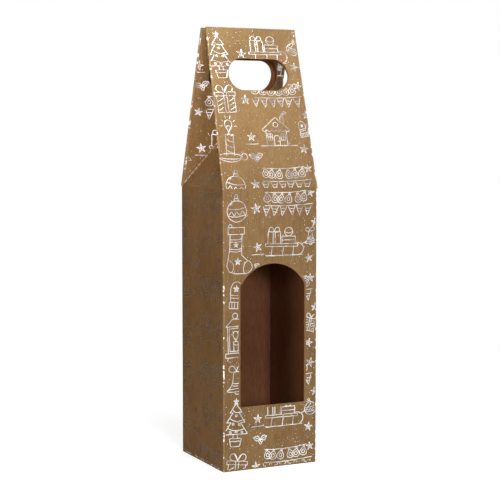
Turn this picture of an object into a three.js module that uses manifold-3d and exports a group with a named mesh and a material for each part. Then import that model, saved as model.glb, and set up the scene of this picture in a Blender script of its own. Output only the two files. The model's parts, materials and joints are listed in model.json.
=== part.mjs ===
// A gable-top bottle carrier folded from one die-cut blank of fine-flute kraft board.
// The origin is on the floor at the middle of the base, +Z is up and the window faces -Y.
// Every panel between two creases is a solid of its own, with its printed face outside.

import * as THREE from 'three';
import { mergeVertices } from 'three/addons/utils/BufferGeometryUtils.js';
import Module from 'manifold-3d';

const wasm = await Module();
wasm.setup();

// Board and gaps, in millimetres.
const BOARD = 1.0; // thickness of the board
const FIT = 0.3; // gap between panels that touch or meet at a crease
const CREASE_RELIEF = 1.2; // open width of the gussets' inward creases

// Carton, outside sizes.
const CARTON_WIDTH = 90; // left to right
const CARTON_DEPTH = 90; // front to back
const WALL_HEIGHT = 242; // floor to the shoulder creases

// Gable top.
const HANDLE_HEIGHT = 381; // floor to the top edges of the handle panels
const HANDLE_TOP_WIDTH = 84; // the handle panels narrow to this at the top
const HANDLE_TOP_SPREAD = 12; // front face to back face at the top edges
const GUSSET_HEIGHT = 80; // shoulder crease to the tip of a side triangle, along the board
const GUSSET_TIP_INSET = 2; // top of a gusset's centre crease to the middle of the carton

// Cut-outs.
const WINDOW_WIDTH = 62;
const WINDOW_OFFSET = 2; // middle of the carton to the window's middle, towards the right
const WINDOW_SILL = 55; // floor to the window's lower edge
const WINDOW_JAMB = 104; // sill to the foot of the arch
const ARCH_RISE = 19; // foot of the arch to its crown
const HAND_HOLE_LENGTH = 58;
const HAND_HOLE_OFFSET = 2; // middle of a handle panel to the hole's middle, towards the right
const HAND_HOLE_RISE = 27.4; // height seen from the front
const HAND_HOLE_DROP = 40.7; // top edge of the handle panels to the hole's centre
const GUSSET_HOLE_EASE = 4.5; // the holes in the gussets are centred, and longer by this at both ends
const CURVE_STEPS = 20; // facets of each round end

// Side seam.
const GLUE_FLAP_WIDTH = 16;
const GLUE_FLAP_MARGIN = 6; // kept clear at both ends of the wall
const GLUE_FLAP_TAPER = 4;

// Lock bottom: the slotted flap lies inside, the tongue flap outside, the side flaps between.
const SLOT_FLAP_REACH = 58; // from the front wall
const SLOT_FLAP_TAPER = 6;
const SLOT_WIDTH = 28;
const SLOT_DEPTH = 12;
const SIDE_FLAP_REACH = 36; // from a side wall
const SIDE_FLAP_LEAD = 4; // set-back of its free front corner
const SIDE_FLAP_EDGE = 32; // from the front wall to where its slanted edge starts
const SIDE_FLAP_HEEL = 3; // from the back wall to where its slanted edge ends
const TONGUE_FLAP_SHOULDER = 26; // from the back wall to where the flap narrows
const TONGUE_FLAP_TAPER = 6;
const TONGUE_FLAP_REACH = 33; // from the back wall to the foot of the tongue
const TONGUE_WIDTH = 26;
const TONGUE_RAMP = 7; // length over which the tongue climbs through the slot
const TONGUE_TIP = 18; // length lying on the slotted flap
const TONGUE_ROOT = 2; // overlap of tongue and flap

// Looks.
const PRINTED_KRAFT = 0x9c7a58;
const PLAIN_KRAFT = 0x8a6644;

// Sizes that follow from the ones above.
const halfWidth = CARTON_WIDTH / 2;
const halfDepth = CARTON_DEPTH / 2;
const insideX = halfWidth - BOARD - FIT;
const insideY = halfDepth - BOARD - FIT;
const shoulderRun = halfDepth - HANDLE_TOP_SPREAD / 2;
const handleRise = HANDLE_HEIGHT - WALL_HEIGHT;
const handleSlant = Math.hypot(shoulderRun, handleRise);
const handHoleHeight = HANDLE_HEIGHT - HAND_HOLE_DROP;
const reach = 2 * HANDLE_HEIGHT; // larger than anything that is cut

// Left is side -1 and right is +1, front is end -1 and back is +1.
const SIDES = { left: -1, right: 1 };
const ENDS = { front: -1, back: 1 };

const UP = new THREE.Vector3(0, 0, 1);
const DOWN = new THREE.Vector3(0, 0, -1);

function place(side, end, point) {
  return new THREE.Vector3(side * point.x, end * point.y, point.z);
}

// Fold points of the quarter at +X, +Y, on the printed faces.
function foldPoints() {
  const shoulder = new THREE.Vector3(halfWidth, halfDepth, WALL_HEIGHT);
  const handleTop = new THREE.Vector3(HANDLE_TOP_WIDTH / 2, HANDLE_TOP_SPREAD / 2, HANDLE_HEIGHT);
  const inward = new THREE.Vector3(0, -handleRise, -shoulderRun).normalize();
  // The gusset lies against the inner face of the handle panel, so its printed face is two boards in.
  const leafTop = handleTop.clone().addScaledVector(inward, 2 * BOARD + FIT);

  // The blank is flat, so the angles round the shoulder corner add up to a full turn.
  const handleCorner = Math.atan2(handleSlant, (CARTON_WIDTH - HANDLE_TOP_WIDTH) / 2);
  const triangleCorner = Math.atan2(GUSSET_HEIGHT, halfDepth);
  const leafCorner = Math.PI - handleCorner - triangleCorner;
  const diagonal = Math.hypot(GUSSET_HEIGHT, halfDepth);

  // The side triangle leans in until the leaf spans from its diagonal to the handle panel's edge.
  const edge = leafTop.clone().sub(shoulder).normalize();
  const sine = -GUSSET_HEIGHT * edge.x;
  const cosine = GUSSET_HEIGHT * edge.z;
  const target = diagonal * Math.cos(leafCorner) + halfDepth * edge.y;
  const lean = Math.atan2(sine, cosine) + Math.acos(target / Math.hypot(sine, cosine));
  const tip = new THREE.Vector3(
    halfWidth - GUSSET_HEIGHT * Math.sin(lean),
    0,
    WALL_HEIGHT + GUSSET_HEIGHT * Math.cos(lean),
  );

  const centreCrease = handleSlant - GUSSET_HEIGHT;
  const creaseRise = Math.sqrt(centreCrease ** 2 - (tip.x - GUSSET_TIP_INSET) ** 2);
  const creaseTop = new THREE.Vector3(GUSSET_TIP_INSET, 0, tip.z + creaseRise);
  return { shoulder, handleTop, inward, leafTop, tip, creaseTop };
}

const fold = foldPoints();

function solidOf(geometry) {
  const bare = geometry.clone();
  bare.deleteAttribute('normal');
  bare.deleteAttribute('uv');
  const merged = mergeVertices(bare);
  return new wasm.Manifold(new wasm.Mesh({
    numProp: 3,
    vertProperties: merged.attributes.position.array,
    triVerts: Uint32Array.from(merged.index.array),
  }));
}

function geometryOf(solid) {
  const { vertProperties, triVerts } = solid.getMesh();
  const geometry = new THREE.BufferGeometry();
  geometry.setAttribute('position', new THREE.BufferAttribute(vertProperties, 3));
  geometry.setIndex(new THREE.BufferAttribute(triVerts, 1));
  geometry.computeVertexNormals();
  return geometry;
}

// A block that fills everything on one side of a plane.
function halfSpace(point, normal) {
  const block = new THREE.BoxGeometry(reach, reach, reach).translate(0, 0, reach / 2);
  const turn = new THREE.Quaternion().setFromUnitVectors(UP, normal);
  return block.applyQuaternion(turn).translate(point.x, point.y, point.z);
}

// Unit vector square to the line from p to q, towards a point of the panel.
function inFrom(p, q, inside) {
  const along = q.clone().sub(p).normalize();
  const towards = inside.clone().sub(p);
  return towards.addScaledVector(along, -towards.dot(along)).normalize();
}

// What a crease from p to q takes off a panel: all beyond the plane halfway to its neighbour.
function creaseCut(p, q, inside, neighbour, gap) {
  const away = inFrom(p, q, neighbour).sub(inFrom(p, q, inside)).normalize();
  return halfSpace(p.clone().addScaledVector(away, -gap / 2), away);
}

// All that lies outside the inner face of a handle panel, with room for the panels behind it.
function beyondHandle(end) {
  const inward = place(1, end, fold.inward);
  const point = place(1, end, fold.shoulder).addScaledVector(inward, BOARD + FIT);
  return halfSpace(point, inward.negate());
}

function belowShoulder() {
  return halfSpace(new THREE.Vector3(0, 0, WALL_HEIGHT + FIT), DOWN);
}

// Shapes drawn in the XZ plane and pushed through the carton from front to back.
function punchedThrough(shape, offsetX, fromY, toY) {
  const depth = toY - fromY;
  const punch = new THREE.ExtrudeGeometry(shape, { depth, bevelEnabled: false, curveSegments: CURVE_STEPS });
  return punch.rotateX(Math.PI / 2).translate(offsetX, toY, 0);
}

function windowShape() {
  const half = WINDOW_WIDTH / 2;
  const foot = WINDOW_SILL + WINDOW_JAMB;
  const radius = (half ** 2 + ARCH_RISE ** 2) / (2 * ARCH_RISE);
  const centre = foot + ARCH_RISE - radius;
  const start = Math.atan2(foot - centre, half);
  const shape = new THREE.Shape();
  shape.moveTo(-half, WINDOW_SILL);
  shape.lineTo(half, WINDOW_SILL);
  shape.absarc(0, centre, radius, start, Math.PI - start, false);
  shape.closePath();
  return shape;
}

function handHoleShape(ease) {
  const radius = HAND_HOLE_RISE / 2;
  const end = HAND_HOLE_LENGTH / 2 + ease - radius;
  const shape = new THREE.Shape();
  shape.absarc(end, handHoleHeight, radius, -Math.PI / 2, Math.PI / 2, false);
  shape.absarc(-end, handHoleHeight, radius, Math.PI / 2, 1.5 * Math.PI, false);
  shape.closePath();
  return shape;
}

const windowPunch = punchedThrough(windowShape(), WINDOW_OFFSET, -halfDepth - BOARD, -halfDepth + 2 * BOARD);
const handPunch = punchedThrough(handHoleShape(0), HAND_HOLE_OFFSET, -halfDepth, halfDepth);
const gussetPunch = punchedThrough(handHoleShape(GUSSET_HOLE_EASE), 0, -halfDepth, halfDepth);

function kraft(color) {
  return new THREE.MeshStandardMaterial({ color, roughness: 0.85, metalness: 0 });
}

// A flat panel: its corners lie on the printed face, and the board goes to the other side.
function panel(name, corners, outward, { cuts = [], joined = [], color = PRINTED_KRAFT } = {}) {
  const along = corners[1].clone().sub(corners[0]).normalize();
  const normal = along.clone().cross(corners[2].clone().sub(corners[0])).normalize();
  if (normal.dot(outward) < 0) {
    normal.negate();
  }
  const frame = new THREE.Matrix4().makeBasis(along, normal.clone().cross(along), normal);
  frame.setPosition(corners[0]);
  const toPanel = frame.clone().invert();
  const outline = corners.map((corner) => {
    const local = corner.clone().applyMatrix4(toPanel);
    return new THREE.Vector2(local.x, local.y);
  });
  const sheet = new THREE.ExtrudeGeometry(new THREE.Shape(outline), { depth: BOARD, bevelEnabled: false });
  sheet.translate(0, 0, -BOARD);
  const inPanel = (geometry) => solidOf(geometry.clone().applyMatrix4(toPanel));
  const whole = joined.reduce((solid, piece) => solid.add(inPanel(piece)), solidOf(sheet));
  const finished = cuts.reduce((solid, cut) => solid.subtract(inPanel(cut)), whole);
  const mesh = new THREE.Mesh(geometryOf(finished), kraft(color));
  mesh.name = name;
  mesh.applyMatrix4(frame);
  return mesh;
}

// The four walls, mitred at the corners and at the shoulder.
function wall(name, middle, along, halfLength, { abovePoint, punches = [] }) {
  const up = new THREE.Vector3(0, 0, WALL_HEIGHT);
  const corner = (sign) => middle.clone().addScaledVector(along, sign * halfLength);
  const corners = [corner(-1), corner(1), corner(1).add(up), corner(-1).add(up)];
  const mitres = [-1, 1].map((sign) => {
    const foot = corner(sign);
    const neighbour = foot.clone().sub(middle);
    return creaseCut(foot, foot.clone().add(up), middle, neighbour, FIT);
  });
  const shoulderCut = creaseCut(corners[3], corners[2], middle, abovePoint, FIT);
  return panel(name, corners, middle, { cuts: [...mitres, shoulderCut, ...punches] });
}

function walls() {
  const group = new THREE.Group();
  for (const [word, end] of Object.entries(ENDS)) {
    const middle = new THREE.Vector3(0, end * halfDepth, 0);
    const abovePoint = new THREE.Vector3(0, end * fold.handleTop.y, HANDLE_HEIGHT);
    const punches = word === 'front' ? [windowPunch] : [];
    group.add(wall(`${word}_wall`, middle, new THREE.Vector3(1, 0, 0), halfWidth, { abovePoint, punches }));
  }
  for (const [word, side] of Object.entries(SIDES)) {
    const middle = new THREE.Vector3(side * halfWidth, 0, 0);
    const abovePoint = place(side, 1, fold.tip);
    group.add(wall(`${word}_wall`, middle, new THREE.Vector3(0, 1, 0), halfDepth, { abovePoint }));
  }
  return group;
}

// The seam flap, an extension of the left wall glued to the inside of the back wall.
function glueFlap() {
  const foot = GLUE_FLAP_MARGIN;
  const head = WALL_HEIGHT - GLUE_FLAP_MARGIN;
  const at = (x, z) => new THREE.Vector3(x, insideY, z);
  const free = GLUE_FLAP_WIDTH - insideX;
  const corners = [
    at(-insideX, foot),
    at(free, foot + GLUE_FLAP_TAPER),
    at(free, head - GLUE_FLAP_TAPER),
    at(-insideX, head),
  ];
  return panel('glue_flap', corners, new THREE.Vector3(0, 1, 0), { color: PLAIN_KRAFT });
}

// Underside of a layer of the lock bottom, counted from the floor.
function layer(index) {
  return index * (BOARD + FIT);
}

function slottedFlap() {
  const z = layer(2);
  const fore = -insideY;
  const edge = fore + SLOT_FLAP_REACH;
  const outline = [
    [-insideX, fore],
    [insideX, fore],
    [insideX - SLOT_FLAP_TAPER, edge],
    [SLOT_WIDTH / 2, edge],
    [SLOT_WIDTH / 2, edge - SLOT_DEPTH],
    [-SLOT_WIDTH / 2, edge - SLOT_DEPTH],
    [-SLOT_WIDTH / 2, edge],
    [SLOT_FLAP_TAPER - insideX, edge],
  ];
  return panel('bottom_slotted_flap', outline.map(([x, y]) => new THREE.Vector3(x, y, z)), DOWN);
}

function sideFlap(word, side) {
  const z = layer(1);
  const free = insideX - SIDE_FLAP_REACH;
  const outline = [
    [insideX, -insideY],
    [free, SIDE_FLAP_LEAD - insideY],
    [free, SIDE_FLAP_EDGE - insideY],
    [insideX, insideY - SIDE_FLAP_HEEL],
  ];
  return panel(`bottom_${word}_flap`, outline.map(([x, y]) => new THREE.Vector3(side * x, y, z)), DOWN);
}

function tongueFlap() {
  const z = layer(0);
  const high = layer(3);
  const foot = insideY - TONGUE_FLAP_REACH;
  const top = foot - TONGUE_RAMP;
  const half = TONGUE_WIDTH / 2;
  const outline = [
    [-insideX, insideY],
    [insideX, insideY],
    [insideX - TONGUE_FLAP_TAPER, insideY - TONGUE_FLAP_SHOULDER],
    [half, foot],
    [-half, foot],
    [TONGUE_FLAP_TAPER - insideX, insideY - TONGUE_FLAP_SHOULDER],
  ];
  const profile = new THREE.Shape([
    new THREE.Vector2(foot + TONGUE_ROOT, z),
    new THREE.Vector2(foot, z),
    new THREE.Vector2(top, high),
    new THREE.Vector2(top - TONGUE_TIP, high),
    new THREE.Vector2(top - TONGUE_TIP, high + BOARD),
    new THREE.Vector2(top, high + BOARD),
    new THREE.Vector2(foot, z + BOARD),
    new THREE.Vector2(foot + TONGUE_ROOT, z + BOARD),
  ]);
  // The profile is drawn in Y and Z and pushed along X.
  const tongue = new THREE.ExtrudeGeometry(profile, { depth: TONGUE_WIDTH, bevelEnabled: false });
  tongue.rotateX(Math.PI / 2).rotateZ(Math.PI / 2).translate(-half, 0, 0);
  const corners = outline.map(([x, y]) => new THREE.Vector3(x, y, z));
  return panel('bottom_tongue_flap', corners, DOWN, { joined: [tongue] });
}

function handlePanel(word, end) {
  const { shoulder, handleTop } = fold;
  const corners = [
    place(-1, end, shoulder),
    place(1, end, shoulder),
    place(1, end, handleTop),
    place(-1, end, handleTop),
  ];
  const inside = new THREE.Vector3(0, end * handleTop.y, handleTop.z);
  const below = new THREE.Vector3(0, end * halfDepth, 0);
  const cuts = [creaseCut(corners[0], corners[1], inside, below, FIT), handPunch];
  return panel(`${word}_handle_panel`, corners, new THREE.Vector3(0, end, 0), { cuts });
}

// The side triangle between the shoulder crease and the two diagonal creases.
function sideTriangle(word, side) {
  const { shoulder, leafTop, tip } = fold;
  const corners = [place(side, -1, shoulder), place(side, 1, shoulder), place(side, 1, tip)];
  const middle = corners[0].clone().add(corners[1]).add(corners[2]).divideScalar(3);
  const below = new THREE.Vector3(side * halfWidth, 0, 0);
  const diagonals = Object.values(ENDS).map((end) => {
    const leaf = place(side, end, leafTop);
    return creaseCut(place(side, end, shoulder), corners[2], middle, leaf, CREASE_RELIEF);
  });
  const shoulderCut = creaseCut(corners[0], corners[1], middle, below, FIT);
  const cuts = [...diagonals, shoulderCut, belowShoulder(), beyondHandle(-1), beyondHandle(1)];
  return panel(`${word}_gusset_triangle`, corners, new THREE.Vector3(side, 0, 0), { cuts });
}

// Where the line from p towards q crosses a height.
function atHeight(p, q, z) {
  return p.clone().lerp(q, (z - p.z) / (q.z - p.z));
}

// The lower leaf of a gusset, from the diagonal to the handle panel's edge, round the hand hole.
function gussetLeaf(name, side, end) {
  const { shoulder, tip, leafTop, creaseTop } = fold;
  const bendAtHole = atHeight(tip, leafTop, handHoleHeight);
  const normal = tip.clone().sub(shoulder).cross(leafTop.clone().sub(shoulder)).normalize();
  // The leaf's own plane meets the middle plane of the carton along a line from the tip.
  const middleLine = normal.clone().cross(new THREE.Vector3(0, 1, 0)).normalize();
  const lip = tip.clone().addScaledVector(middleLine, (handHoleHeight - tip.z) / middleLine.z);
  const corners = [shoulder, tip, lip, bendAtHole, leafTop].map((point) => place(side, end, point));
  const middle = place(side, end, shoulder.clone().add(tip).add(leafTop).divideScalar(3));
  const opposite = middle.clone().setY(-middle.y);
  const triangle = new THREE.Vector3(side * halfWidth, 0, WALL_HEIGHT);
  const cuts = [
    creaseCut(corners[0], corners[1], middle, triangle, CREASE_RELIEF),
    creaseCut(corners[1], corners[2], middle, opposite, CREASE_RELIEF),
    halfSpace(new THREE.Vector3(0, end * CREASE_RELIEF / 2, 0), new THREE.Vector3(0, -end, 0)),
    belowShoulder(),
    beyondHandle(end),
    gussetPunch,
    bendCut(side, end, shoulder, creaseTop),
  ];
  return panel(name, corners, new THREE.Vector3(side, -end, 0), { cuts });
}

// What the bend between leaf and fin takes off one of them, above the middle of the hand hole.
function bendCut(side, end, inside, neighbour) {
  const foot = place(side, end, fold.tip);
  const head = place(side, end, fold.leafTop);
  const beyond = creaseCut(foot, head, place(side, end, inside), place(side, end, neighbour), FIT);
  const above = halfSpace(new THREE.Vector3(0, 0, handHoleHeight), UP);
  return geometryOf(solidOf(beyond).intersect(solidOf(above)));
}

// The upper fin of a gusset, above the hand hole, folded back against the handle panel.
function gussetFin(name, side, end) {
  const { tip, leafTop, creaseTop } = fold;
  const corners = [tip, creaseTop, leafTop].map((point) => place(side, end, point));
  const cuts = [
    halfSpace(new THREE.Vector3(0, end * CREASE_RELIEF / 2, 0), new THREE.Vector3(0, -end, 0)),
    halfSpace(new THREE.Vector3(0, 0, handHoleHeight), DOWN),
    beyondHandle(end),
    gussetPunch,
    bendCut(side, end, creaseTop, fold.shoulder),
  ];
  return panel(name, corners, new THREE.Vector3(side, -end, 0), { cuts });
}

function gableTop() {
  const group = new THREE.Group();
  for (const [endWord, end] of Object.entries(ENDS)) {
    group.add(handlePanel(endWord, end));
  }
  for (const [sideWord, side] of Object.entries(SIDES)) {
    group.add(sideTriangle(sideWord, side));
    for (const [endWord, end] of Object.entries(ENDS)) {
      group.add(gussetLeaf(`${endWord}_${sideWord}_gusset_leaf`, side, end));
      group.add(gussetFin(`${endWord}_${sideWord}_gusset_fin`, side, end));
    }
  }
  return group;
}

function lockBottom() {
  const group = new THREE.Group();
  group.add(slottedFlap());
  for (const [word, side] of Object.entries(SIDES)) {
    group.add(sideFlap(word, side));
  }
  group.add(tongueFlap());
  return group;
}

const carrier = new THREE.Group();
carrier.name = 'bottle_carrier';
carrier.add(walls(), glueFlap(), lockBottom(), gableTop());

export default carrier;
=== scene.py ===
"""Looks of a gable-top bottle carrier: folded kraft board with a silver foil print, on a plain pale set."""

import json
import math
import random

import bmesh
import bpy
from mathutils import Matrix, Vector, noise
from mathutils.bvhtree import BVHTree


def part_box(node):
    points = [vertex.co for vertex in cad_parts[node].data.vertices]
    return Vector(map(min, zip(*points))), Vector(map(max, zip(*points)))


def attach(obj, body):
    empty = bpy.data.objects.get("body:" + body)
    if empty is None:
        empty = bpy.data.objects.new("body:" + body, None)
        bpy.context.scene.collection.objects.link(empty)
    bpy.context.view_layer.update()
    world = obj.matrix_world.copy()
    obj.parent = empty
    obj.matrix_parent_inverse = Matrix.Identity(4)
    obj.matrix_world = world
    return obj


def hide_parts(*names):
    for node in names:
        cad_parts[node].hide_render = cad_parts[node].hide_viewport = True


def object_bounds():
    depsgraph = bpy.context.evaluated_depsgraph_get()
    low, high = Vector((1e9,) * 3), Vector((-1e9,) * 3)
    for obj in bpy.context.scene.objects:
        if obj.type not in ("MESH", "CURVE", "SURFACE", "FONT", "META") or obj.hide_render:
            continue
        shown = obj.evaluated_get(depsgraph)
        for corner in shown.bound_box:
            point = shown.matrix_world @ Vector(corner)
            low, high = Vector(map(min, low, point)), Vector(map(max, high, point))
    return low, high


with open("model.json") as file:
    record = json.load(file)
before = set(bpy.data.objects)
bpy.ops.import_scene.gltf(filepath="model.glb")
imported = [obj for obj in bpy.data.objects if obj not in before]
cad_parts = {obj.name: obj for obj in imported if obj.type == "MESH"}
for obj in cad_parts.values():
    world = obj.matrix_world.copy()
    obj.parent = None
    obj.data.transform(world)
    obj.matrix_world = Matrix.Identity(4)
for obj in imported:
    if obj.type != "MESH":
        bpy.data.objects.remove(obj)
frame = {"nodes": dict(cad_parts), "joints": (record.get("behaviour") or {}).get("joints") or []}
cad_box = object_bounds()

# Kraft board.
# The blank is fine-flute board with a brown kraft liner on both sides: long fibres, specks of bark, a faint
# washboard from the flutes, and a paler torn core where a knife or a punch has cut it.
PRINTED_KRAFT = (0.291, 0.164, 0.070, 1)
# The plain inner liner is set darker and redder than the printed one, partly as painted shade for the
# shaded inside of the box.
PLAIN_KRAFT_WITH_SHADE = (0.255, 0.100, 0.047, 1)
CUT_KRAFT = (0.330, 0.215, 0.112, 1)
# The pale liner on the folds is partly real wear and partly a painted highlight along the corners.
WORN_KRAFT_WITH_HIGHLIGHT = (0.380, 0.230, 0.110, 1)
CLOUD_SHADE = (0.86, 0.83, 0.80, 1)
BARK = (0.12, 0.06, 0.025, 1)
FOIL = (0.88, 0.86, 0.84, 1)
CLOUDS = {"scale": 38, "stretch": (1, 1, 0.6), "detail": 5}
FIBRES = {"scale": 900, "stretch": (1, 1, 0.14), "detail": 3}
GRAIN = {"scale": 2600, "stretch": (1, 1, 0.7), "detail": 2}
SPECKS = {"scale": 1500, "stretch": (1, 1, 0.35), "detail": 1}
FOIL_SCRAPS = {"scale": 150, "stretch": (1, 1, 1.6), "detail": 3}
FIBRE_CONTRAST = 0.55
GRAIN_CONTRAST = 0.22
FLUTE_PITCH = 0.0019
FLUTE_HEIGHT = 0.35
RELIEF = 0.0002
LINER_ROUGHNESS = (0.74, 0.9)
LINER_GLOSS = 0.10


def feed(tree, node, inputs):
    """Sets the node's inputs to values, or links them to the sockets given in their place."""
    for name, value in inputs.items():
        if isinstance(value, bpy.types.NodeSocket):
            tree.links.new(value, node.inputs[name])
        else:
            node.inputs[name].default_value = value


def add_node(tree, kind, inputs=None, **settings):
    node = tree.nodes.new(kind)
    for name, value in settings.items():
        setattr(node, name, value)
    feed(tree, node, inputs or {})
    return node


def mixed(tree, blend, factor, first, second):
    """A colour mix; factor, first and second are sockets or values."""
    inputs = {0: factor, 6: first, 7: second}
    return add_node(tree, "ShaderNodeMix", inputs, data_type="RGBA", blend_type=blend).outputs[2]


def worked_out(tree, operation, *terms):
    """The result of one piece of arithmetic; its terms are sockets or values."""
    return add_node(tree, "ShaderNodeMath", dict(enumerate(terms)), operation=operation).outputs[0]


def ramped(tree, value, low, high, to_low=0.0, to_high=1.0):
    """A value eased from one range to another."""
    inputs = {"Value": value, "From Min": low, "From Max": high, "To Min": to_low, "To Max": to_high}
    return add_node(tree, "ShaderNodeMapRange", inputs, interpolation_type="SMOOTHSTEP").outputs["Result"]


def object_place(tree):
    return add_node(tree, "ShaderNodeTexCoord").outputs["Object"]


def stretched_noise(tree, place, scale, stretch, detail):
    mapping = add_node(tree, "ShaderNodeMapping", {"Vector": place, "Scale": stretch})
    inputs = {"Vector": mapping.outputs["Vector"], "Scale": scale, "Detail": detail, "Roughness": 0.6}
    return add_node(tree, "ShaderNodeTexNoise", inputs).outputs["Fac"]


def flute_ridges(tree, place):
    """Faint upright ridges of the flutes, one sine wave every pitch along the wall."""
    parts = add_node(tree, "ShaderNodeSeparateXYZ", {"Vector": place}).outputs
    along = worked_out(tree, "ADD", parts["X"], parts["Y"])
    turn = worked_out(tree, "MULTIPLY", along, 2 * math.pi / FLUTE_PITCH)
    return ramped(tree, worked_out(tree, "SINE", turn), -1, 1, 0, FLUTE_HEIGHT)


def kraft_fibre_group():
    """Colour, roughness and height of a kraft liner, from its place on the box."""
    tree = bpy.data.node_groups.new("kraft_fibre", "ShaderNodeTree")
    tree.interface.new_socket("Liner", in_out="INPUT", socket_type="NodeSocketColor")
    tree.interface.new_socket("Color", in_out="OUTPUT", socket_type="NodeSocketColor")
    tree.interface.new_socket("Roughness", in_out="OUTPUT", socket_type="NodeSocketFloat")
    tree.interface.new_socket("Height", in_out="OUTPUT", socket_type="NodeSocketFloat")
    liner = add_node(tree, "NodeGroupInput").outputs["Liner"]
    place = object_place(tree)
    clouds = ramped(tree, stretched_noise(tree, place, **CLOUDS), 0.35, 0.7)
    fibres = stretched_noise(tree, place, **FIBRES)
    grain = stretched_noise(tree, place, **GRAIN)
    specks = ramped(tree, stretched_noise(tree, place, **SPECKS), 0.70, 0.76)
    color = mixed(tree, "MULTIPLY", clouds, liner, CLOUD_SHADE)
    color = mixed(tree, "SOFT_LIGHT", FIBRE_CONTRAST, color, fibres)
    color = mixed(tree, "OVERLAY", GRAIN_CONTRAST, color, grain)
    add_node(tree, "NodeGroupOutput", {
        "Color": mixed(tree, "MIX", specks, color, BARK),
        "Roughness": ramped(tree, fibres, 0.3, 0.7, *LINER_ROUGHNESS),
        "Height": worked_out(tree, "ADD", fibres, flute_ridges(tree, place)),
    })
    return tree


kraft_fibre = kraft_fibre_group()


def new_material(name):
    material = bpy.data.materials.new(name)
    material.use_nodes = True
    return material, material.node_tree, material.node_tree.nodes["Principled BSDF"]


def kraft_material(name, liner, bump):
    material, tree, shader = new_material(name)
    fibre = add_node(tree, "ShaderNodeGroup", {"Liner": liner}, node_tree=kraft_fibre).outputs
    relief = {"Strength": bump, "Distance": RELIEF, "Height": fibre["Height"]}
    feed(tree, shader, {
        "Base Color": fibre["Color"],
        "Roughness": fibre["Roughness"],
        "Normal": add_node(tree, "ShaderNodeBump", relief).outputs["Normal"],
        "Specular IOR Level": LINER_GLOSS,
    })
    return material


def highlit_worn_fold_material():
    """Liner stretched over a fold and rubbed pale, partly as wear and partly as a painted highlight along
    the fold, with scraps of the foil that was stamped across it.
    """
    material = kraft_material("worn_fold_with_highlight", WORN_KRAFT_WITH_HIGHLIGHT, 0.5)
    tree = material.node_tree
    shader = tree.nodes["Principled BSDF"]
    scraps = ramped(tree, stretched_noise(tree, object_place(tree), **FOIL_SCRAPS), 0.56, 0.60)
    liner = shader.inputs["Base Color"].links[0].from_socket
    feed(tree, shader, {"Base Color": mixed(tree, "MIX", scraps, liner, FOIL), "Metallic": scraps})
    return material


printed_kraft = kraft_material("printed_kraft", PRINTED_KRAFT, 0.35)
# Inner faces and beads take the plain liner, whose darker colour is partly painted shade.
plain_kraft = kraft_material("plain_kraft", PLAIN_KRAFT_WITH_SHADE, 0.45)
cut_kraft = kraft_material("cut_kraft", CUT_KRAFT, 0.8)
worn_fold_with_highlight = highlit_worn_fold_material()

# Sleeve.
# Four walls of one strip of board, folded at the corners and swelling a little between them, with the
# arched window punched out of the front wall. The folds are rounded because the outer liner stretches.
CORNER_RADIUS = 0.0014
WALL_COLUMNS = 12
WALL_ROWS = 30
SWELL = {"front": 0.0003, "back": 0.0005, "left": 0.0003, "right": 0.0007}
EDGE_ROUND = 0.00016
RIM_ANGLE = math.radians(40)
SMOOTH_ANGLE = math.radians(35)
FOLD_SLANT = 0.3
SAME_PLACE = 1e-5
PRINTED, PLAIN, CUT, WORN_AND_HIGHLIT = range(4)
joints = {joint["name"]: joint for joint in frame["joints"]}
half_width = cad_box[1].x
half_depth = cad_box[1].y
wall_top = joints["front_handle_fold"]["pos_m"][2]
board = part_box("back_wall")[1].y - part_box("back_wall")[0].y
punch_clear = 4 * board
punch_stroke = 9 * board
outward = {
    "front_wall": Vector((0, -1, 0)),
    "back_wall": Vector((0, 1, 0)),
    "left_wall": Vector((-1, 0, 0)),
    "right_wall": Vector((1, 0, 0)),
}


def swollen(point):
    """A point of the sleeve, moved out with the swell of the wall that it lies on."""
    rise = math.sin(math.pi * min(max(point.z / wall_top, 0), 1))
    across_x = max(0, 1 - (point.x / half_width) ** 2)
    across_y = max(0, 1 - (point.y / half_depth) ** 2)
    moved = Vector(point)
    if abs(point.y) > half_depth - 2 * board:
        name = "back" if point.y > 0 else "front"
        moved.y += math.copysign(SWELL[name] * across_x * rise, point.y)
    if abs(point.x) > half_width - 2 * board:
        name = "right" if point.x > 0 else "left"
        moved.x += math.copysign(SWELL[name] * across_y * rise, point.x)
    return moved


def new_object(name, data):
    thing = bpy.data.objects.new(name, data)
    bpy.context.scene.collection.objects.link(thing)
    return thing


def new_piece(name, bm, *materials):
    mesh = bpy.data.meshes.new(name)
    bm.to_mesh(mesh)
    bm.free()
    for material in materials:
        mesh.materials.append(material)
    return new_object(name, mesh)


def finished_mesh(piece):
    """The piece's mesh as its modifiers, or a curve's bevel, leave it."""
    graph = bpy.context.evaluated_depsgraph_get()
    return bpy.data.meshes.new_from_object(piece.evaluated_get(graph))


def pulled(bm, edges, way):
    """The far edges of the faces that are pulled out of a row of edges."""
    grown = bmesh.ops.extrude_edge_only(bm, edges=edges)["geom"]
    bmesh.ops.translate(bm, verts=[g for g in grown if isinstance(g, bmesh.types.BMVert)], vec=way)
    return [g for g in grown if isinstance(g, bmesh.types.BMEdge)]


def seated(piece, body):
    """Puts the piece, smooth apart from its corners, on the body that carries it."""
    piece.data.shade_smooth()
    piece.data.set_sharp_from_angle(angle=SMOOTH_ANGLE)
    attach(piece, body)


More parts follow.
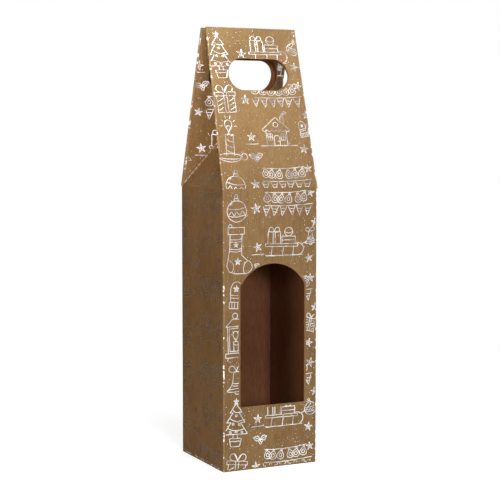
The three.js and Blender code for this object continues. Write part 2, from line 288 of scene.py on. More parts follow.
def window_cutter():
    """The punch for the arched window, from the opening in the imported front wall."""
    wall = frame["nodes"]["front_wall"].data
    spots = {(round(v.co.x, 6), round(v.co.z, 6)) for v in wall.vertices}
    rim = [(x, z) for x, z in spots
           if abs(x) < half_width - punch_clear and board < z < wall_top - punch_clear]
    sill = min(z for x, z in rim)
    crown = max(z for x, z in rim)
    left = min(x for x, z in rim)
    right = max(x for x, z in rim)
    half = (right - left) / 2
    foot = max(z for x, z in rim if abs(x - right) < SAME_PLACE)
    rise = crown - foot
    radius = (half**2 + rise**2) / (2 * rise)
    reach = 2 * math.asin(half / radius)
    bm = bmesh.new()
    front = -half_depth - punch_clear
    start = bm.verts.new((right, front, foot))
    pivot = (left + half, front, crown - radius)
    arch = bmesh.ops.spin(bm, geom=[start], cent=pivot, axis=(0, -1, 0), angle=reach, steps=36)
    end = arch["geom_last"][0]
    low = [bm.verts.new((x, front, sill)) for x in (left, right)]
    bm.edges.new((end, low[0]))
    bm.edges.new(low)
    bm.edges.new((low[1], start))
    bmesh.ops.contextual_create(bm, geom=bm.edges[:])
    pushed = bmesh.ops.extrude_face_region(bm, geom=bm.faces[:])["geom"]
    deep = [g for g in pushed if isinstance(g, bmesh.types.BMVert)]
    bmesh.ops.translate(bm, verts=deep, vec=(0, punch_stroke, 0))
    bmesh.ops.recalc_face_normals(bm, faces=bm.faces[:])
    return new_piece("window_cutter", bm, cut_kraft)


def rounded_rims(piece):
    bevel = piece.modifiers.new("rims", "BEVEL")
    bevel.width = EDGE_ROUND
    bevel.segments = 2
    bevel.limit_method = "ANGLE"
    bevel.angle_limit = RIM_ANGLE
    bevel.use_clamp_overlap = True


def sleeve():
    bm = bmesh.new()
    bmesh.ops.create_grid(bm, x_segments=1, y_segments=1, size=1)
    bmesh.ops.scale(bm, vec=(half_width, half_depth, 1), verts=bm.verts)
    bmesh.ops.bevel(bm, geom=bm.verts[:], offset=CORNER_RADIUS, offset_type="OFFSET", segments=5,
                    profile=0.5, affect="VERTICES", material=-1)
    bmesh.ops.delete(bm, geom=bm.faces[:], context="FACES_ONLY")
    sides = [e for e in bm.edges if e.calc_length() > half_width]
    bmesh.ops.subdivide_edges(bm, edges=sides, cuts=WALL_COLUMNS)
    ring = bm.edges[:]
    for _ in range(WALL_ROWS):
        ring = pulled(bm, ring, (0, 0, wall_top / WALL_ROWS))
    for vert in bm.verts:
        vert.co = swollen(vert.co)
    bmesh.ops.recalc_face_normals(bm, faces=bm.faces[:])
    piece = new_piece("sleeve", bm, printed_kraft, plain_kraft, cut_kraft, worn_fold_with_highlight)
    wall = piece.modifiers.new("wall", "SOLIDIFY")
    wall.thickness = board
    wall.offset = -1
    wall.use_even_offset = True
    wall.material_offset = PLAIN
    wall.material_offset_rim = CUT
    cutter = window_cutter()
    punch = piece.modifiers.new("punch", "BOOLEAN")
    punch.object = cutter
    punch.solver = "EXACT"
    punch.material_mode = "TRANSFER"
    punched = finished_mesh(piece)
    piece.modifiers.clear()
    piece.data = punched
    bpy.data.objects.remove(cutter)
    # Faces on the rounded corners take the pale fold liner: partly wear, partly a painted highlight along
    # each corner.
    for face in punched.polygons:
        slant = min(abs(face.normal.x), abs(face.normal.y))
        if face.material_index == PRINTED and slant > FOLD_SLANT:
            face.material_index = WORN_AND_HIGHLIT
    rounded_rims(piece)
    return piece


sleeve_piece = sleeve()
seated(sleeve_piece, "carton")
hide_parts("front_wall", "back_wall", "left_wall", "right_wall")

# Seam flap and lock bottom.
# The flap of the side seam is glued inside the back wall. Below it the slotted, side and tongue flaps
# are folded in one after the other, and the tongue is pushed up through the slot.
EASED_ANGLE = math.radians(30)
FLAT_ON = 0.8


def softened_panel(node, body, facing):
    """A packed panel with its edges eased and its printed, plain and cut faces told apart."""
    bm = bmesh.new()
    bm.from_mesh(frame["nodes"][node].data)
    bmesh.ops.remove_doubles(bm, verts=bm.verts, dist=1e-6)
    bmesh.ops.dissolve_limit(bm, angle_limit=math.radians(1), verts=bm.verts, edges=bm.edges)
    widest = max(bm.faces, key=lambda face: face.calc_area())
    normal = widest.normal.copy()
    if normal.dot(facing) < 0:
        normal.negate()
    outward[node] = normal
    for face in bm.faces:
        lean = face.normal.dot(normal)
        face.material_index = PRINTED if lean > FLAT_ON else PLAIN if lean < -FLAT_ON else CUT
    sharp = [e for e in bm.edges if e.is_manifold and e.calc_face_angle() > EASED_ANGLE]
    bmesh.ops.bevel(bm, geom=sharp, offset=EDGE_ROUND, offset_type="OFFSET", segments=2, profile=0.5,
                    affect="EDGES", clamp_overlap=True, material=-1)
    piece = new_piece(node.replace("_panel", "") + "_board", bm, printed_kraft, plain_kraft, cut_kraft)
    seated(piece, body)
    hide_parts(node)


softened_panel("glue_flap", "carton", Vector((0, 1, 0)))
for flap in ("slotted", "left", "right", "tongue"):
    softened_panel(f"bottom_{flap}_flap", "carton", Vector((0, 0, -1)))

# Gable top.
# Two handle panels lean together and carry the hand hole. Between them, on both sides, a triangle leans in
# and two leaves fold back behind the handle panels, each with a fin above the hand hole.
ENDS = {"front": -1, "back": 1}
SIDES = {"left": -1, "right": 1}
for end_name, end in ENDS.items():
    softened_panel(f"{end_name}_handle_panel", f"{end_name}_handle", Vector((0, end, 0)))
for side_name, side in SIDES.items():
    triangle = f"{side_name}_gusset_triangle"
    softened_panel(triangle, f"{side_name}_triangle", Vector((side, 0, 0)))
    for end_name, end in ENDS.items():
        corner = f"{end_name}_{side_name}"
        facing = Vector((side, -end, 0))
        softened_panel(f"{corner}_gusset_leaf", f"{corner}_leaf", facing)
        softened_panel(f"{corner}_gusset_fin", f"{corner}_fin", facing)

# Creases.
# A rule pressed along each fold leaves a rounded bead inside the board. The gussets' outer folds are rolled
# round the handle panels' edges, and the diagonals are cut through but for a row of short ties.
BEAD_RADIUS = 0.00055
BEAD_DEPTH = 0.00070
FOLD_RADIUS = 0.00050
HEM_WIDTH = 0.0022
HEM_DEPTH = 0.00015
TIE_LENGTH = 0.0034
TIE_PITCH = 0.0050
TIE_RADIUS = 0.0005
# The ties are far paler than torn board alone: partly the torn core, partly painted glints along the
# diagonal crease.
TORN_KRAFT_WITH_GLINT = (0.860, 0.690, 0.500, 1)
bead_reach = half_width - 1.5 * board
torn_kraft_with_glint = kraft_material("torn_kraft_with_glint", TORN_KRAFT_WITH_GLINT, 0.8)


def standing_on(spot, way):
    """A frame at the spot, with its upright axis along the way."""
    return Matrix.Translation(spot) @ way.to_track_quat("Z", "Y").to_matrix().to_4x4()


def rod(bm, start, end, radius):
    """A round bar between two points."""
    run = end - start
    bmesh.ops.create_cone(bm, cap_ends=True, segments=10, radius1=radius, radius2=radius,
                          depth=run.length, matrix=standing_on((start + end) / 2, run))


def shoulder_bead(name, joint):
    crease = Vector(joints[joint]["pos_m"])
    inward = Vector((-crease.x, -crease.y, 0)).normalized()
    middle = crease + inward * BEAD_DEPTH
    reach = Vector(joints[joint]["axis"]) * bead_reach
    bm = bmesh.new()
    rod(bm, middle - reach, middle + reach, BEAD_RADIUS)
    seated(new_piece(name, bm, plain_kraft), "carton")


def farthest(node, direction):
    return max((v.co for v in frame["nodes"][node].data.vertices), key=direction.dot).copy()


def rolled_fold(end_name, end, side_name, side):
    """A slim cone round a handle panel's side edge, since panel and leaf spread apart towards the top.

    A narrow hem of the same liner lies inside the edge, where it turns into the leaf.
    """
    corner = f"{end_name}_{side_name}"
    panel = f"{end_name}_handle_panel"
    fold = joints[f"{corner}_leaf_fold"]
    foot = Vector(fold["pos_m"])
    outer = farthest(panel, Vector((side * 0.1, end * 0.1, 1)))
    axis = Vector(fold["axis"])
    inner = foot + axis * math.copysign((outer - foot).length, axis.z)
    middle = (outer + inner) / 2
    upward = middle - foot
    bm = bmesh.new()
    rim = bm.verts.new(outer)
    bmesh.ops.spin(bm, geom=[rim], cent=middle, axis=upward, angle=-math.pi * side * end, steps=8)
    bmesh.ops.create_circle(bm, segments=10, radius=FOLD_RADIUS, matrix=standing_on(foot, upward))
    bmesh.ops.convex_hull(bm, input=bm.verts[:])
    inward = -outward[panel]
    spots = [point + inward * (board + depth) + Vector((across, 0, 0))
             for point in (foot, outer) for depth in (0, HEM_DEPTH) for across in (0, -side * HEM_WIDTH)]
    bmesh.ops.convex_hull(bm, input=[bm.verts.new(spot) for spot in spots])
    bmesh.ops.recalc_face_normals(bm, faces=bm.faces[:])
    for face in bm.faces:
        face.material_index = 1 if face.normal.z > FLAT_ON else 0
    # The rolled fold's pale liner is partly wear and partly a painted highlight along the edge.
    piece = new_piece(f"{corner}_rolled_fold", bm, worn_fold_with_highlight, cut_kraft)
    seated(piece, f"{end_name}_handle")


def diagonal_ties(end_name, side_name):
    corner = f"{end_name}_{side_name}"
    foot = Vector(joints[f"{corner}_leaf_fold"]["pos_m"])
    tip = Vector(joints[f"{corner}_fin_fold"]["pos_m"])
    run = (tip - foot).normalized()
    count = int((tip - foot).length / TIE_PITCH)
    bm = bmesh.new()
    for index in range(1, count):
        start = foot + run * (index * TIE_PITCH)
        rod(bm, start, start + run * TIE_LENGTH, TIE_RADIUS)
    # The ties' pale colour is partly a painted glint along the crease.
    seated(new_piece(f"{corner}_diagonal_ties", bm, torn_kraft_with_glint), f"{side_name}_triangle")


for end_name in ENDS:
    shoulder_bead(f"{end_name}_shoulder_bead", f"{end_name}_handle_fold")
for side_name, side in SIDES.items():
    shoulder_bead(f"{side_name}_shoulder_bead", f"{side_name}_triangle_fold")
    for end_name, end in ENDS.items():
        rolled_fold(end_name, end, side_name, side)
        diagonal_ties(end_name, side_name)

# Foil print.
# Silver foil is stamped on the blank before it is cut and folded: hand-drawn winter motifs in a repeat as
# wide as a wall, with stars between them and snow all over. It is thin and satin, and cut by the edges.
RUBBED_FOIL = (0.50, 0.48, 0.48, 1)
RUB_SHADE = (0.80, 0.77, 0.74, 1)
FOIL_CLOUDS = {"scale": 90, "stretch": (1, 1, 1), "detail": 4}
FOIL_RUBS = {"scale": 1800, "stretch": (1, 1, 1), "detail": 2}
FOIL_ROUGHNESS = (0.12, 0.24)
FOIL_LIFT = 0.00004
LINE_RADIUS = 0.00030
LINE_STEP = 0.0008
PRESSURE = 0.35
PRESSURE_SCALE = 140
WOBBLE = 0.00025
WOBBLE_SCALE = 230
WOBBLE_SEED = 1
PETAL_FULLNESS = 0.65
STAR_ROOT = 0.3
STAR_LEAN = 0.63


def foil_material():
    """Satin metal that is a little rubbed and cloudy."""
    material, tree, shader = new_material("silver_foil")
    place = object_place(tree)
    clouds = stretched_noise(tree, place, **FOIL_CLOUDS)
    rubs = stretched_noise(tree, place, **FOIL_RUBS)
    color = mixed(tree, "MIX", ramped(tree, clouds, 0.42, 0.62), FOIL, RUBBED_FOIL)
    feed(tree, shader, {
        "Base Color": mixed(tree, "MULTIPLY", ramped(tree, rubs, 0.55, 0.75), color, RUB_SHADE),
        "Roughness": ramped(tree, rubs, 0.3, 0.7, *FOIL_ROUGHNESS),
        "Metallic": 1,
    })
    return material


silver_foil = foil_material()


def shares(steps):
    """Even steps from 0 to 1."""
    return [i / steps for i in range(steps + 1)]


def arc(x, y, across, high, start=0, end=360, steps=24):
    """Points of an ellipse's arc, angles in degrees."""
    angles = [math.radians(start + (end - start) * i / steps) for i in range(steps + 1)]
    return [(x + across * math.cos(a), y + high * math.sin(a)) for a in angles]


def petal(x, y, length, width, aim, steps=18):
    """A closed drop that starts and ends at one point and points along aim, in degrees."""
    turn = math.radians(aim)
    points = []
    for i in range(steps + 1):
        t = 2 * math.pi * i / steps
        along = length * (1 - math.cos(t)) / 2
        across = width * math.sin(t) * math.sin(t / 2) * PETAL_FULLNESS
        points.append((x + along * math.cos(turn) - across * math.sin(turn),
                       y + along * math.sin(turn) + across * math.cos(turn)))
    return points


def mirrored(points):
    return [(-x, y) for x, y in reversed(points)]


def sag(x0, y0, x1, y1, depth, steps=8):
    """A hanging line between two points."""
    return [(x0 + (x1 - x0) * t, y0 + (y1 - y0) * t - depth * 4 * t * (1 - t)) for t in shares(steps)]


def outline(left, low, right, high):
    return [(left, low), (right, low), (right, high), (left, high), (left, low)]


def rays(y, near, far, angles):
    """Short strokes round a flame, from one ellipse to a wider one."""
    turns = [math.radians(angle) for angle in angles]
    return [[(across * math.cos(a), y + high * math.sin(a)) for across, high in (near, far)] for a in turns]


def star(x=0, y=0, size=0.5):
    """Five slim points that meet in the middle."""
    strokes = []
    root = STAR_ROOT * size
    for k in range(5):
        turn = math.radians(90 + 72 * k)
        tip = (x + size * math.cos(turn), y + size * math.sin(turn))
        roots = [(x + root * math.cos(turn + lean), y + root * math.sin(turn + lean))
                 for lean in (-STAR_LEAN, STAR_LEAN)]
        strokes.append([roots[0], tip, roots[1], (x, y), roots[0]])
    return strokes


def fir():
    half = [(0, 0.41), (0.14, 0.22), (0.07, 0.22), (0.21, 0.01), (0.11, 0.01), (0.28, -0.24), (0.05, -0.24)]
    strokes = [half + mirrored(half), [(-0.05, -0.24), (-0.05, -0.33)], [(0.05, -0.24), (0.05, -0.33)]]
    strokes += [[(-0.14, -0.33), (0.14, -0.33), (0.10, -0.5), (-0.10, -0.5), (-0.14, -0.33)]]
    strokes += [[(-0.13, -0.39), (0.13, -0.39)]]
    strokes += [sag(-0.08, 0.28, 0.10, 0.24, 0.04), sag(-0.13, 0.10, 0.15, 0.06, 0.05)]
    strokes += [sag(-0.19, -0.10, 0.20, -0.13, 0.05)]
    spots = ((0.01, 0.15), (-0.06, -0.02), (0.08, -0.03), (-0.12, -0.19), (0.02, -0.19), (0.15, -0.20))
    strokes += [arc(x, y, 0.022, 0.022, steps=8) for x, y in spots]
    return strokes + star(0, 0.45, 0.07)


def stocking():
    leg = [(-0.12, 0.32), (-0.13, 0.05), (-0.17, -0.20), (-0.20, -0.34), (-0.14, -0.46), (0.0, -0.5)]
    leg += [(0.20, -0.5)] + arc(0.22, -0.36, 0.16, 0.14, -90, 70, 10)
    leg += [(0.14, -0.12), (0.14, 0.05), (0.15, 0.32)]
    strokes = [leg, outline(-0.17, 0.32, 0.20, 0.46), arc(-0.12, 0.48, 0.04, 0.05, -20, 200, 8)]
    strokes += [sag(-0.13, y, 0.145, y + 0.01, 0.02) for y in (0.22, 0.17, 0.02, -0.03)]
    strokes += [arc(-0.24, -0.36, 0.20, 0.16, -45, 60, 8), arc(0.34, -0.40, 0.16, 0.18, 110, 215, 8)]
    return strokes + star(0.01, 0.10, 0.06) + star(0.05, -0.25, 0.08)


def lantern():
    strokes = [arc(0, 0.44, 0.06, 0.06, steps=12)]
    strokes += [[(-0.07, 0.37), (0.07, 0.37), (0.22, 0.22), (-0.22, 0.22), (-0.07, 0.37)]]
    strokes += [outline(-0.18, -0.34, 0.18, 0.22), outline(-0.14, -0.30, 0.14, 0.18)]
    strokes += [outline(-0.24, -0.43, 0.24, -0.34)]
    strokes += [[(-0.18, -0.43), (-0.20, -0.5)], [(0.18, -0.43), (0.20, -0.5)]]
    strokes += [outline(-0.05, -0.30, 0.05, -0.10), petal(0, -0.08, 0.20, 0.12, 90)]
    strokes += [[(0, -0.10), (0, -0.03)], sag(-0.05, -0.14, 0.05, -0.16, 0.02)]
    return strokes + rays(0.02, (0.07, 0.07), (0.12, 0.12), (20, 55, 125, 160))


def candle():
    drips = [(-0.09, 0.10), (-0.04, 0.07), (0, 0.11), (0.05, 0.06), (0.09, 0.10)]
    strokes = [[(-0.09, -0.36)] + drips + [(0.09, -0.36)]]
    strokes += [petal(0, 0.14, 0.26, 0.16, 90), petal(0, 0.15, 0.13, 0.08, 90), [(0, 0.08), (0, 0.15)]]
    strokes += [sag(-0.09, y, 0.09, y - 0.08, 0.01) for y in (0.0, -0.12, -0.24)]
    strokes += [arc(0, -0.38, 0.26, 0.06), arc(0, -0.40, 0.24, 0.10, 190, 350, 12)]
    strokes += [arc(0.31, -0.38, 0.07, 0.07, -150, 150, 12)]
    return strokes + rays(0.27, (0.13, 0.17), (0.20, 0.24), (0, 35, 70, 110, 145, 180))


def bell():
    side = [(0.12 + 0.07 * s + 0.18 * s**4, 0.26 - 0.54 * s) for s in shares(12)]
    dome = arc(0, 0.26, 0.12, 0.11, 0, 180, 10)[1:-1]
    strokes = [list(reversed(side)) + dome + [(-x, y) for x, y in side]]
    strokes += [arc(0, -0.29, 0.38, 0.06), arc(0, -0.35, 0.09, 0.09, 180, 360, 10)]
    strokes += [sag(-0.16, -0.02, 0.16, -0.02, 0.04), sag(-0.17, -0.10, 0.17, -0.10, 0.04)]
    return strokes + [petal(0, 0.38, 0.30, 0.22, 28), petal(0, 0.38, 0.30, 0.22, 152)]


def parcel():
    strokes = [outline(-0.34, -0.5, 0.34, 0.10), outline(-0.40, 0.10, 0.40, 0.23)]
    strokes += [[(x, -0.5), (x, 0.23)] for x in (-0.06, 0.06)]
    strokes += [[(x, -0.42 + 0.16 * k), (x + 0.18, -0.32 + 0.16 * k)]
                for x in (-0.30, 0.12) for k in range(3)]
    strokes += [petal(0, 0.23, 0.36, 0.24, aim) for aim in (35, 145)]
    return strokes + [[(0, 0.23), (0.12, 0.44)], [(0, 0.23), (-0.12, 0.44)]]


def bauble():
    strokes = [arc(0, -0.12, 0.37, 0.37, steps=32)]
    strokes += [[(-0.08, 0.24), (-0.08, 0.33), (0.08, 0.33), (0.08, 0.24)]]
    strokes += [arc(0, 0.40, 0.06, 0.07, steps=10)]
    strokes += [sag(-0.35, 0.0, 0.35, 0.0, 0.06), sag(-0.34, -0.25, 0.34, -0.25, 0.06)]
    teeth = [(-0.30 + 0.1 * i, (-0.08 if i % 2 else -0.22) - 0.05 * (1 - (i / 3 - 1) ** 2))
             for i in range(7)]
    return strokes + [teeth, arc(-0.14, 0.11, 0.08, 0.06, 100, 200, 6)]


def mitten():
    hand = [(-0.22, -0.24), (-0.24, 0.16)] + arc(-0.02, 0.18, 0.22, 0.30, 180, 0, 14) + [(0.20, -0.02)]
    thumb = arc(0.33, 0.10, 0.10, 0.10, 150, -30, 8) + [(0.30, -0.14), (0.20, -0.24)]
    strokes = [hand + thumb, outline(-0.27, -0.46, 0.25, -0.24)]
    strokes += [[(x, -0.43), (x, -0.27)] for x in (-0.17, -0.07, 0.05, 0.15)]
    strokes += [sag(-0.23, 0.02, 0.20, 0.02, 0.02), sag(-0.23, -0.08, 0.20, -0.08, 0.02)]
    return strokes + star(-0.02, 0.22, 0.13)


def sledge():
    strokes = [[(-0.62, -0.5), (0.48, -0.5)] + arc(0.48, -0.30, 0.24, 0.20, -90, 110, 12)]
    strokes += [[(x, -0.5), (x + 0.03, -0.22)] for x in (-0.42, -0.02, 0.34)]
    strokes += [outline(-0.62, -0.22, 0.52, -0.14), outline(-0.54, -0.14, -0.10, 0.24)]
    strokes += [[(x, -0.14), (x, 0.24)] for x in (-0.36, -0.29)]
    strokes += [petal(-0.325, 0.24, 0.20, 0.15, aim) for aim in (30, 150)]
    strokes += [outline(-0.05, -0.14, 0.42, 0.10), [(-0.05, -0.02), (0.42, -0.02)]]
    strokes += [arc(0.18, 0.24, 0.14, 0.14, steps=16), sag(0.05, 0.24, 0.31, 0.24, 0.04)]
    return strokes + [sag(0.66, -0.14, 1.0, 0.14, 0.05)]


def cottage():
    strokes = [[(-0.36, 0.02), (-0.36, -0.5), (0.36, -0.5), (0.36, 0.02)]]
    eaves = []
    for k in range(6):
        eaves += arc(-0.40 + 0.16 * k, 0.02, 0.08, 0.06, 180, 360, 5)
    strokes += [[(-0.48, 0.02), (0, 0.42), (0.48, 0.02)], eaves]
    strokes += [[(0.18, 0.27), (0.18, 0.44), (0.30, 0.44), (0.30, 0.17)]]
    strokes += [arc(0.26, 0.50, 0.04, 0.03, steps=8), arc(0.34, 0.57, 0.06, 0.04, steps=10)]
    strokes += [[(-0.10, -0.5), (-0.10, -0.26)] + arc(0, -0.26, 0.10, 0.09, 180, 0, 8) + [(0.10, -0.5)]]
    for x in (-0.23, 0.23):
        strokes += [outline(x - 0.08, -0.32, x + 0.08, -0.12)]
        strokes += [[(x, -0.32), (x, -0.12)], [(x - 0.08, -0.22), (x + 0.08, -0.22)]]
    return strokes + [arc(0, 0.18, 0.08, 0.08, steps=12), arc(0.06, -0.36, 0.01, 0.01, steps=6)]


def holly():
    edge = [(t * 0.52, 0.20 * math.sin(math.pi * t) * (1 if i % 2 else 0.55))
            for i, t in enumerate(shares(10))]
    leaf = [edge + [(x, -y) for x, y in reversed(edge)], [(0.04, 0), (0.46, 0)]]
    strokes = []
    for aim in (20, 160):
        turn = math.radians(aim)
        strokes += [[(x * math.cos(turn) - y * math.sin(turn), x * math.sin(turn) + y * math.cos(turn))
                     for x, y in line] for line in leaf]
    berries = ((-0.07, -0.08), (0.09, -0.09), (0.0, -0.23))
    return strokes + [arc(x, y, 0.09, 0.09, steps=12) for x, y in berries]


# The repeat's width, height and foot on the sheet, and what is in it. A place is a motif's middle, its size
# and how far it may tilt, in degrees; a string is its two ends and its height.
REPEAT_WIDTH = 0.0900
REPEAT_HEIGHT = 0.0745
REPEAT_FOOT = 0.0205
TALL = (fir, lantern, stocking, candle)
MIDDLING = (bell, parcel, bauble, mitten)
BROAD = (sledge, cottage)
TALL_PLACE = (-0.0335, 0.0215, 0.0410, 4)
UPPER_PLACE = (-0.0325, 0.0570, 0.0245, 9)
BROAD_PLACE = (0.0120, 0.0290, 0.0275, 2)
SMALL_PLACE = (0.0385, 0.0300, 0.0150, 15)
HOLLY_PLACE = (-0.0100, 0.0050, 0.0130, 20)
STARS = ((-0.0125, 0.0230), (-0.0140, 0.0560), (0.0385, 0.0690), (0.0370, 0.0120), (-0.0470, 0.0430))
STAR_SIZE = (0.0078, 0.0096)
STAR_TILT = 18
GROUND_LINES = ((-0.0185, -0.0065, 0.0165), (-0.0045, 0.0310, 0.0150))
GROUND_RISE = 0.0004
LAMP_STRING = (-0.0040, 0.0330, 0.0700)
LAMP_PITCH = 0.0074
LAMP_SIZE = 0.0080
LAMP_SWING = 14
LAMP_SLACK = 0.0012
FLAG_STRING = (-0.0040, 0.0390, 0.0585)
FLAG_PITCH = 0.0080
FLAG_SIZE = 0.0084
FLAG_SWING = 8
FLAG_SLACK = 0.0010
FLAG_DROP = 0.0008
STRING_END = 0.002
STRING_RISE = 0.001
SNOW_PER_SQUARE_METRE = 60000
SNOW_RADIUS = (0.00014, 0.00042)


def set_down(strokes, x=0, y=0, size=1, tilt=0):
    """A motif's strokes, sized, tilted and moved to their place on the sheet."""
    turn = Matrix.Rotation(math.radians(tilt), 2)
    middle = Vector((x, y))
    return [[middle + turn @ Vector(point) * size for point in stroke] for stroke in strokes]


def placed(motif, place, draw):
    x, y, size, tilt = place
    return set_down(motif(), x, y, size, draw.uniform(-tilt, tilt))


def slack_string(low, high, y, slack):
    return set_down([sag(low - STRING_END, y, high + STRING_END, y + STRING_RISE, slack, 16)])


def lamp_string(low, high, y, draw):
    """A slack wire with a lamp hanging from it at every pitch."""
    lamp = [outline(-0.1, -0.16, 0.1, 0)]
    lamp += [petal(0, -0.12, 0.95, 0.85, -90), petal(0, -0.40, 0.45, 0.35, -90)]
    strokes = slack_string(low, high, y, LAMP_SLACK)
    for index in range(int((high - low) / LAMP_PITCH) + 1):
        x = low + index * LAMP_PITCH
        hang = y - 4 * LAMP_SLACK * (x - low) * (high - x) / (high - low) ** 2
        strokes += set_down(lamp, x, hang, LAMP_SIZE, draw.uniform(-LAMP_SWING, LAMP_SWING))
    return strokes


def flag_string(low, high, y, draw):
    """A cord with small striped flags."""
    flag = [[(-0.40, 0), (0, -1), (0.40, 0)]]
    flag += [[(-0.24, -0.28), (0.24, -0.28)], [(-0.14, -0.56), (0.14, -0.56)]]
    strokes = slack_string(low, high, y, FLAG_SLACK)
    for index in range(int((high - low) / FLAG_PITCH) + 1):
        x = low + index * FLAG_PITCH
        strokes += set_down(flag, x, y - FLAG_DROP, FLAG_SIZE, draw.uniform(-FLAG_SWING, FLAG_SWING))
    return strokes


def one_repeat(turn, draw):
    """Strokes of one repeat of the print, from the middle of its lower edge."""
    strokes = placed(TALL[turn % 4], TALL_PLACE, draw)
    strokes += placed(MIDDLING[(3 * turn) % 4], UPPER_PLACE, draw)
    strokes += placed(BROAD[turn % 2], BROAD_PLACE, draw)
    strokes += placed(MIDDLING[(3 * turn + 2) % 4], SMALL_PLACE, draw)
    strokes += placed(holly, HOLLY_PLACE, draw)
    for x, y in STARS:
        strokes += set_down(star(), x, y, draw.uniform(*STAR_SIZE), draw.uniform(-STAR_TILT, STAR_TILT))
    for left, right, y in GROUND_LINES:
        strokes += set_down([[(left, y), (right, y + GROUND_RISE)]])
    return strokes + lamp_string(*LAMP_STRING, draw) + flag_string(*FLAG_STRING, draw)


def sheet_of_motifs(low, high, shift, seed):
    """All strokes of the print over one stretch of the sheet, from low to high."""
    draw = random.Random(seed)
    strokes = []
    first_row = math.floor((low.y - REPEAT_FOOT) / REPEAT_HEIGHT)
    last_row = math.floor((high.y - REPEAT_FOOT) / REPEAT_HEIGHT)
    first_column = math.floor((low.x - shift) / REPEAT_WIDTH + 0.5) - 1
    last_column = math.floor((high.x - shift) / REPEAT_WIDTH + 0.5) + 1
    for row in range(first_row - 1, last_row + 2):
        for column in range(first_column, last_column + 1):
            foot = Vector((shift + column * REPEAT_WIDTH, REPEAT_FOOT + row * REPEAT_HEIGHT))
            strokes += [[foot + point for point in stroke] for stroke in one_repeat(row + seed, draw)]
    return strokes


def drawn(stroke):
    """A stroke as a hand draws it: close points, each a little off."""
    points = []
    for start, end in zip(stroke, stroke[1:]):
        steps = max(1, round((end - start).length / LINE_STEP))
        points += [start.lerp(end, i / steps) for i in range(steps)]
    points.append(stroke[-1])
    return [p + noise.noise_vector(Vector((p.x, p.y, 0)) * WOBBLE_SCALE).xy * WOBBLE for p in points]


# How the print lies on a panel: it stops a margin short of the edges, which rays from just above the panel
# find, and on the leaves and fins the repeat is shifted sideways.
PRINT_MARGIN = 0.0003
PROBE_HEIGHT = 0.001
PROBE_REACH = 0.0012
SQUARE_ON = 0.999
FACING = 0.99
LEAF_SHIFT = 0.030


class Sheet:
    """The printed side of one packed panel, with a flat frame of its own."""

    def __init__(self, node, margin):
        mesh = frame["nodes"][node].data
        self.normal = outward[node]
        up = (Vector((0, 0, 1)) - self.normal * self.normal.z).normalized()
        across = up.cross(self.normal)
        flat = [v.co for p in mesh.polygons if p.normal.dot(self.normal) > SQUARE_ON
                for v in (mesh.vertices[i] for i in p.vertices)]
        foot = self.normal * max(co.dot(self.normal) for co in flat)
        axes = Matrix((across, up, self.normal)).transposed().to_4x4()
        self.place = Matrix.Translation(foot) @ axes
        self.low = Vector((min(co.dot(across) for co in flat), min(co.dot(up) for co in flat)))
        self.high = Vector((max(co.dot(across) for co in flat), max(co.dot(up) for co in flat)))
        corners = [v.co for v in mesh.vertices]
        self.tree = BVHTree.FromPolygons(corners, [p.vertices[:] for p in mesh.polygons])
        ways = ((-margin, 0), (margin, 0), (0, -margin), (0, margin))
        self.probes = [Vector((x, y, PROBE_HEIGHT)) for x, y in ways]

    def near(self, stroke):
        """True where some of the stroke lies within the panel's outer box."""
        return (min(p.x for p in stroke) < self.high.x and max(p.x for p in stroke) > self.low.x
                and min(p.y for p in stroke) < self.high.y and max(p.y for p in stroke) > self.low.y)

    def covers(self, point):
        """True where the panel has board under the point and all round it."""
        for probe in self.probes:
            start = self.place @ (Vector((point.x, point.y, 0)) + probe)
            spot, normal, _, _ = self.tree.ray_cast(start, -self.normal, PROBE_REACH)
            if spot is None or normal.dot(self.normal) < FACING:
                return False
        return True


def covered_runs(sheet, points):
    """The stretches of a drawn stroke that lie on the panel."""
    run = []
    for point in points:
        if sheet.covers(point):
            run.append(point)
            continue
        if len(run) > 1:
            yield run
        run = []
    if len(run) > 1:
        yield run


def foil_lines(name, sheet, strokes):
    """A mesh of flat round-backed lines along the strokes."""
    curve = bpy.data.curves.new(name, "CURVE")
    curve.dimensions = "3D"
    curve.twist_mode = "Z_UP"
    curve.bevel_depth = LINE_RADIUS
    curve.bevel_resolution = 0
    curve.use_fill_caps = True
    for stroke in filter(sheet.near, strokes):
        for run in covered_runs(sheet, drawn(stroke)):
            spline = curve.splines.new("POLY")
            spline.points.add(len(run) - 1)
            for point, spot in zip(spline.points, run):
                point.co = (spot.x, spot.y, 0, 1)
                point.radius = 1 + PRESSURE * noise.noise(Vector((spot.x, spot.y, 1)) * PRESSURE_SCALE)
    holder = new_object(name, curve)
    mesh = finished_mesh(holder)
    bm = bmesh.new()
    bm.from_mesh(mesh)
    bpy.data.objects.remove(holder)
    bpy.data.curves.remove(curve)
    bpy.data.meshes.remove(mesh)
    bmesh.ops.scale(bm, vec=(1, 1, FOIL_LIFT / LINE_RADIUS), verts=bm.verts)
    return bm


def snow(sheet, seed):
    """A mesh of dots scattered over the panel."""
    draw = random.Random(seed)
    size = sheet.high - sheet.low
    bm = bmesh.new()
    for _ in range(int(size.x * size.y * SNOW_PER_SQUARE_METRE)):
        spot = Vector((draw.uniform(sheet.low.x, sheet.high.x), draw.uniform(sheet.low.y, sheet.high.y)))
        radius = SNOW_RADIUS[0] + (SNOW_RADIUS[1] - SNOW_RADIUS[0]) * draw.random() ** 2
        if sheet.covers(spot):
            place = Matrix.Translation((spot.x, spot.y, FOIL_LIFT))
            bmesh.ops.create_circle(bm, cap_ends=True, segments=6, radius=radius, matrix=place)
    mesh = bpy.data.meshes.new("snow")
    bm.to_mesh(mesh)
    bm.free()
    return mesh


